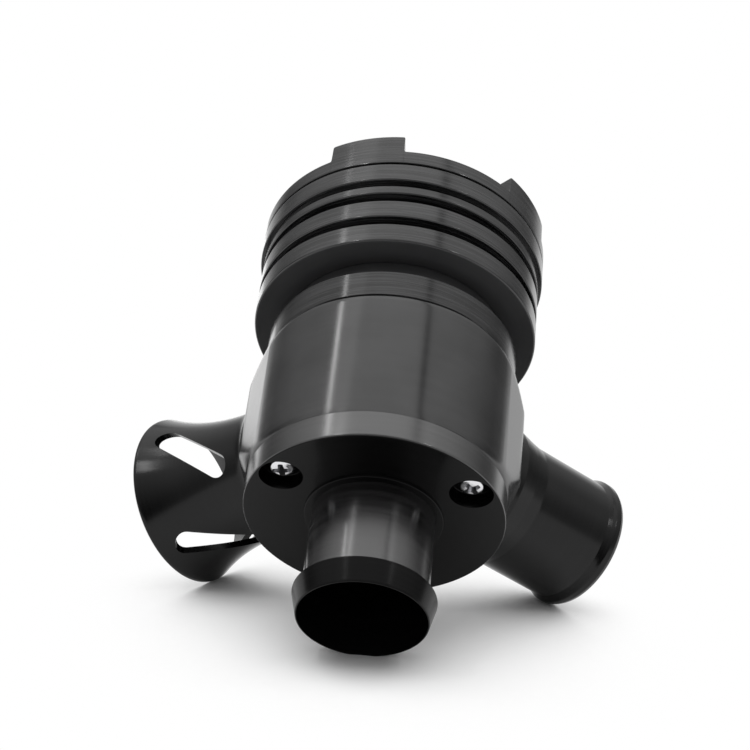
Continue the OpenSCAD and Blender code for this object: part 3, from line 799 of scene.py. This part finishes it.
# camera as it was fitted to the photo
view = {"place": (0.00815, -0.32367, -0.20884), "right": (0.99490, -0.04189, 0.09179),
        "down": (0.09728, 0.63985, -0.76231), "ahead": (-0.02680, 0.76735, 0.64066),
        "focalPixels": 1988.4, "framePixels": 750, "sensor": 36.0}
camera = bpy.data.cameras.new("camera")
camera.sensor_width = view["sensor"]
camera.sensor_fit = "HORIZONTAL"
camera.lens = view["sensor"] * view["focalPixels"] / view["framePixels"]
camera.clip_start = 0.01
cameraObject = add("camera", camera)
columns = [Vector(view["right"]), -Vector(view["down"]), -Vector(view["ahead"])]
cameraObject.matrix_world = Matrix.Translation(view["place"]) @ Matrix(columns).transposed().to_4x4()
scene.camera = cameraObject

# studio frame: right, away from the camera, up, with its origin under the valve
ahead = Vector(view["ahead"])
away = (ahead - up * ahead.dot(up)).normalized()
right = away.cross(up)
middle = (cadLow + cadHigh) / 2
studio = Matrix((right, away, up)).transposed().to_4x4()
studio.translation = middle - up * (middle.dot(up) - floorHeight)

floorSettings = {"half": 1.6, "reach": 0.06, "lean": 42, "shadeFrom": 0.34, "shadeTo": 0.755,
                 "paint": (0.93, 0.93, 0.93)}


# rays that show the pale background: straight to the camera, or by way of gloss or glass
def seenRays(sheet):
    direct = sheet.add("ShaderNodeLightPath", out="Is Camera Ray")
    return direct, direct.of("Is Glossy Ray") + direct.of("Is Transmission Ray")


def makeFloor():
    mesh = bpy.data.meshes.new("floor")
    half = floorSettings["half"]
    mesh.from_pydata([(-half, -half, 0), (half, -half, 0), (half, half, 0), (-half, half, 0)], [], [(0, 1, 2, 3)])
    floor = add("floor", mesh)
    floor.matrix_world = studio
    material, sheet = newFinish("pale_floor")
    # white where little stands over the floor on its lit side, painted and shaded near the valve
    lean = math.radians(floorSettings["lean"])
    toLight = studio.to_3x3() @ Vector((0, math.sin(lean), math.cos(lean)))
    litSide = sheet.add("ShaderNodeCombineXYZ", None, {0: toLight.x, 1: toLight.y, 2: toLight.z})
    free = sheet.add("ShaderNodeAmbientOcclusion", {"samples": 12},
                     {"Distance": floorSettings["reach"], "Normal": litSide}, out="AO")
    white = between(sheet, free, (floorSettings["shadeFrom"], 0.0), (floorSettings["shadeTo"], 1.0))
    direct, bounced = seenRays(sheet)
    behind = sheet.add("ShaderNodeNewGeometry", out="Backfacing")
    paint = sheet.add("ShaderNodeBsdfDiffuse", None, {"Color": (*floorSettings["paint"], 1)})
    glow = sheet.add("ShaderNodeEmission", None, {"Color": (1, 1, 1, 1), "Strength": 1.0})
    top = sheet.add("ShaderNodeMixShader", None, {0: white * (direct + bounced), 1: paint, 2: glow})
    clear = sheet.add("ShaderNodeBsdfTransparent")
    mixed = sheet.add("ShaderNodeMixShader", None, {0: behind, 1: top, 2: clear})
    sheet.add("ShaderNodeOutputMaterial", None, {"Surface": mixed})
    mesh.materials.append(material)


makeFloor()


# where a ray of the camera goes after the body's front at a turn from the middle
def bounce(turnDegrees, drop=0.0):
    ray = (Vector(view["ahead"]) + Vector(view["down"]) * drop).normalized()
    side = Vector((math.sin(math.radians(turnDegrees)), -math.cos(math.radians(turnDegrees)), 0))
    return ray - side * 2 * ray.dot(side)


# a bright panel overhead, dim sides, a little fill from both sides in front, white behind the valve
worldSettings = {"strength": 1.36, "panelTurns": (-24.0, 16.0), "panelSide": 0.86, "gapWide": 0.045, "gapDark": 0.25,
                 "lean": 0.45, "sideFill": 0.2,
                 "stops": [(0.0, 0.3), (0.49, 0.35), (0.53, 0.14), (0.60, 0.14), (0.66, 0.24), (0.80, 0.54),
                           (0.91, 0.80), (0.97, 0.96), (1.0, 1.0)]}
spread = 0.08  # how far up and down the picture a mirrored edge is followed


def makeWorld():
    settings = worldSettings
    world = bpy.data.worlds.new("studio")
    scene.world = world
    world.use_nodes = True
    sheet = Sheet(world.node_tree)
    direction = sheet.add("ShaderNodeTexCoord", out="Generated")

    def along(line):
        return sheet.add("ShaderNodeVectorMath", {"operation": "DOT_PRODUCT"}, {0: direction, 1: line}, out="Value")

    # side of the plane in which the body's front shows one straight edge, more than zero on the panel's side
    def panelEdge(turnDegrees):
        line = bounce(turnDegrees, -spread).cross(bounce(turnDegrees, spread)).normalized()
        return along(line if line.dot(bounce(0.0)) > 0 else -line)

    lift, back, across = along(up), along(away), along(right)
    leftEdge, rightEdge = [panelEdge(degrees) for degrees in settings["panelTurns"]]
    dim = settings["panelSide"]
    panel = between(sheet, leftEdge, (-0.02, dim), (0.02, 1.0)) * between(sheet, rightEdge, (-0.02, dim), (0.02, 1.0))
    gap = sheet.add("ShaderNodeMapRange", {"interpolation_type": "SMOOTHSTEP"},
                    {"Value": rightEdge * rightEdge, "From Min": 0.0, "From Max": settings["gapWide"] ** 2,
                     "To Min": settings["gapDark"], "To Max": 1.0})
    sky = sheet.add("ShaderNodeValToRGB", {"stops": settings["stops"]}, {0: lift * 0.5 + 0.5})
    grey = sheet.add("ShaderNodeRGBToBW", None, {0: sky}) * panel * gap * (back * settings["lean"] + 1.0)
    aside = between(sheet, across * across, (0.1, 0.0), (0.4, 1.0))
    below = between(sheet, lift, (0.85, 0.0), (0.6, 1.0))
    fill = between(sheet, back, (0.3, 0.0), (0.0, settings["sideFill"])) * aside * below
    backdrop = between(sheet, back, (0.80, 0.0), (0.96, 1.0))
    direct, bounced = seenRays(sheet)
    dome = sheet.add("ShaderNodeBackground", None, {"Color": grey + fill, "Strength": settings["strength"]})
    plain = sheet.add("ShaderNodeBackground", None, {"Color": (1, 1, 1, 1), "Strength": 1.0})
    both = sheet.add("ShaderNodeMixShader", None, {0: direct + bounced * backdrop, 1: dome, 2: plain})
    sheet.add("ShaderNodeOutputWorld", None, {"Surface": both})


makeWorld()
home = studio.inverted()
lampSettings = {"front": (0, -0.026, 0.048), "aim": (0, 0, 0.05), "stripTurn": -24.0, "far": 0.62, "high": 0.9}


# place in the studio frame that the body's front mirrors at a turn from its middle
def mirrored(turnDegrees, drop):
    return home @ (Vector(lampSettings["front"]) + bounce(turnDegrees, drop) * lampSettings["far"])


# place in the studio frame by its turn from straight behind and its height, in degrees
def highUp(turnDegrees, height):
    turn, rise = math.radians(turnDegrees), math.radians(height)
    way = Vector((math.sin(turn) * math.cos(rise), math.cos(turn) * math.cos(rise), math.sin(rise)))
    return way * lampSettings["high"]


# soft boxes in the studio frame: place, size in metres, glow and the way the long side runs
def makeLamps():
    stripTurn = lampSettings["stripTurn"]
    strip = home.to_3x3() @ (bounce(stripTurn, spread) - bounce(stripTurn, -spread))
    softBoxes = {
        "leftStrip": {"place": mirrored(stripTurn, 0.035), "size": (0.15, 0.022), "glow": 8.5, "long": strip},
        "leftGlow": {"place": mirrored(-19.0, 0.0), "size": (0.45, 0.14), "glow": 0.36, "long": strip},
        "leftHigh": {"place": highUp(-118, 57), "size": (0.22, 0.05), "glow": 15.0, "long": (0.3, 1, 0)},
        "rightHigh": {"place": highUp(118, 50), "size": (0.16, 0.06), "glow": 12.0, "long": (0.3, -1, 0)},
        "backLow": {"place": (-0.20, 0.38, 0.02), "size": (0.34, 0.04), "glow": 0.85, "long": (0.88, 0.47, 0)},
    }
    for name, box in softBoxes.items():
        lamp = bpy.data.lights.new(name, "AREA")
        lamp.shape = "RECTANGLE"
        lamp.size, lamp.size_y = box["size"]
        lamp.energy = box["glow"] * math.pi * lamp.size * lamp.size_y
        back = (Vector(box["place"]) - Vector(lampSettings["aim"])).normalized()
        long = Vector(box["long"])
        long = (long - back * long.dot(back)).normalized()
        facing = Matrix((long, back.cross(long), back)).transposed().to_4x4()
        facing.translation = Vector(box["place"])
        lampObject = add(name, lamp)
        lampObject.matrix_world = studio @ facing
        lampObject.visible_camera = False
    print("studio set up with", len(softBoxes), "lamps")


makeLamps()

scene.view_settings.view_transform = "Standard"
